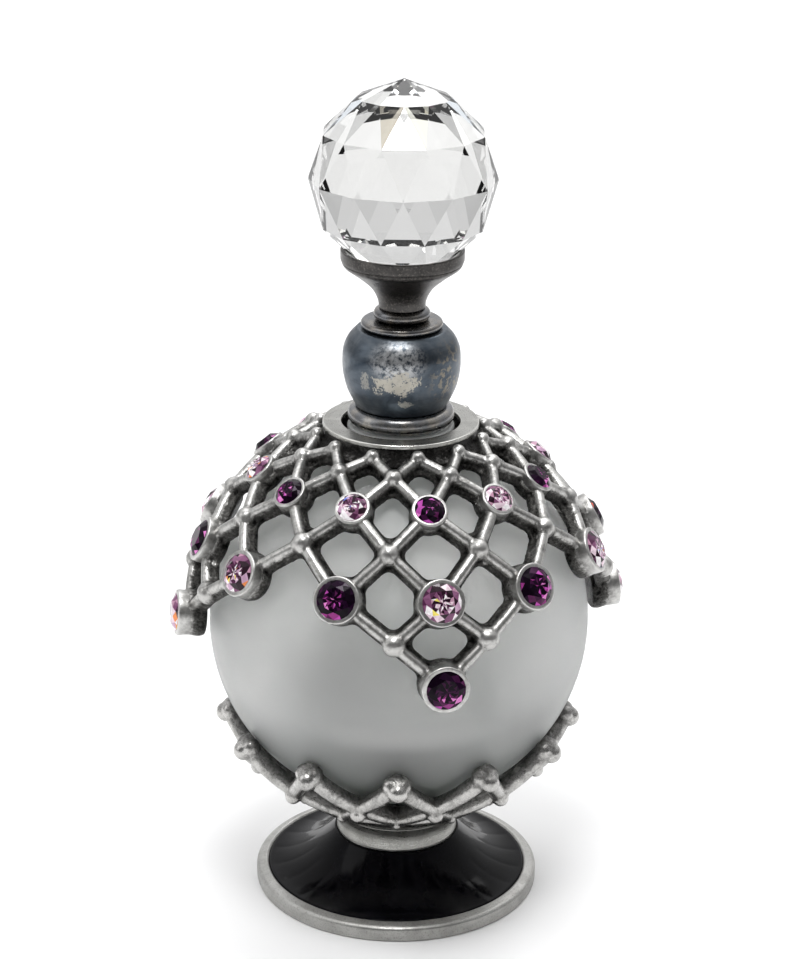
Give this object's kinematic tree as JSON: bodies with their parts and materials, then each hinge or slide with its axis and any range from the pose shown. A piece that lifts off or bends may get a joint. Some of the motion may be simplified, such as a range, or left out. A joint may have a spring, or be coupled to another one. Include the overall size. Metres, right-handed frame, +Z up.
{
  "type": "perfume bottle",
  "caption": "Frosted glass globe perfume bottle in a jewelled openwork metal cap and footed basket, with a lift-out stopper topped by a faceted crystal ball.",
  "frame": {"origin": "on the bottle's axis, at the underside of the foot", "axes": "+Z up the bottle's axis, -Y towards the front festoon's side, +X to the right seen from the front"},
  "size_m": [0.0782, 0.0782, 0.1442],
  "materials": {
    "crystal": "clear cut crystal, bright facets",
    "gunmetal": "dark brownish gunmetal plate, grainy rim",
    "patinated_metal": "blue-grey patina worn silvery at the middle",
    "polished_metal": "polished dark nickel",
    "antique_pewter": "antiqued pewter, bright ridges and dark recesses",
    "bright_pewter": "rough bright pewter casting",
    "satin_pewter": "satin pewter with fine grain",
    "frosted_glass": "frosted, softly hazy",
    "amethyst": "dark purple foiled faceted stone",
    "lavender_stone": "pale lavender foiled faceted stone",
    "black_enamel": "glossy black enamel over shallow petals",
    "brass_core": "plain turned brass",
    "plain_steel": "plain zinc-plated steel",
    "polyethylene": "milky soft plastic",
    "silicone": "milky translucent silicone",
    "clear_glass": "clear drawn rod"
  },
  "bodies": {
    "bottle": {"foot_base": "satin_pewter", "foot_enamel": "black_enamel", "foot_collar": "satin_pewter", "foot_screw": "plain_steel", "lower_basket": "bright_pewter", "glass_globe": "frosted_glass", "lattice_cap": "antique_pewter", "shoulder_ring": "satin_pewter", "stone_upper_01": "amethyst", "stone_middle_01": "lavender_stone", "stone_lower_01": "amethyst", "stone_upper_02": "lavender_stone", "stone_middle_02": "amethyst", "stone_upper_03": "amethyst", "stone_middle_03": "lavender_stone", "stone_upper_04": "lavender_stone", "stone_middle_04": "amethyst", "stone_lower_04": "lavender_stone", "stone_upper_05": "amethyst", "stone_middle_05": "lavender_stone", "stone_upper_06": "lavender_stone", "stone_middle_06": "amethyst", "stone_upper_07": "amethyst", "stone_middle_07": "lavender_stone", "stone_lower_07": "amethyst", "stone_upper_08": "lavender_stone", "stone_middle_08": "amethyst", "stone_upper_09": "amethyst", "stone_middle_09": "lavender_stone", "stone_upper_10": "lavender_stone", "stone_middle_10": "amethyst", "stone_lower_10": "lavender_stone", "stone_upper_11": "amethyst", "stone_middle_11": "lavender_stone", "stone_upper_12": "lavender_stone", "stone_middle_12": "amethyst"},
    "stopper_seal": {"seal_washer": "silicone"},
    "stopper": {"stopper_plug": "polyethylene", "stopper_core": "brass_core", "dabber_rod": "clear_glass", "bulb_base_ring": "polished_metal", "stopper_bulb": "patinated_metal", "step_ring": "polished_metal", "upper_bead_ring": "polished_metal", "finial_cup": "gunmetal", "stack_screw": "plain_steel", "crystal_ball": "crystal"}
  },
  "joints": [
    {"name": "stopper_lift", "type": "slide", "parent": "bottle", "child": "stopper_seal", "axis": [0, 0, 1], "range_m": [0, 0.0425]},
    {"name": "stopper_turn", "type": "hinge", "parent": "stopper_seal", "child": "stopper", "pos_m": [0, 0, 0.0861], "axis": [0, 0, 1], "continuous": true}
  ]
}
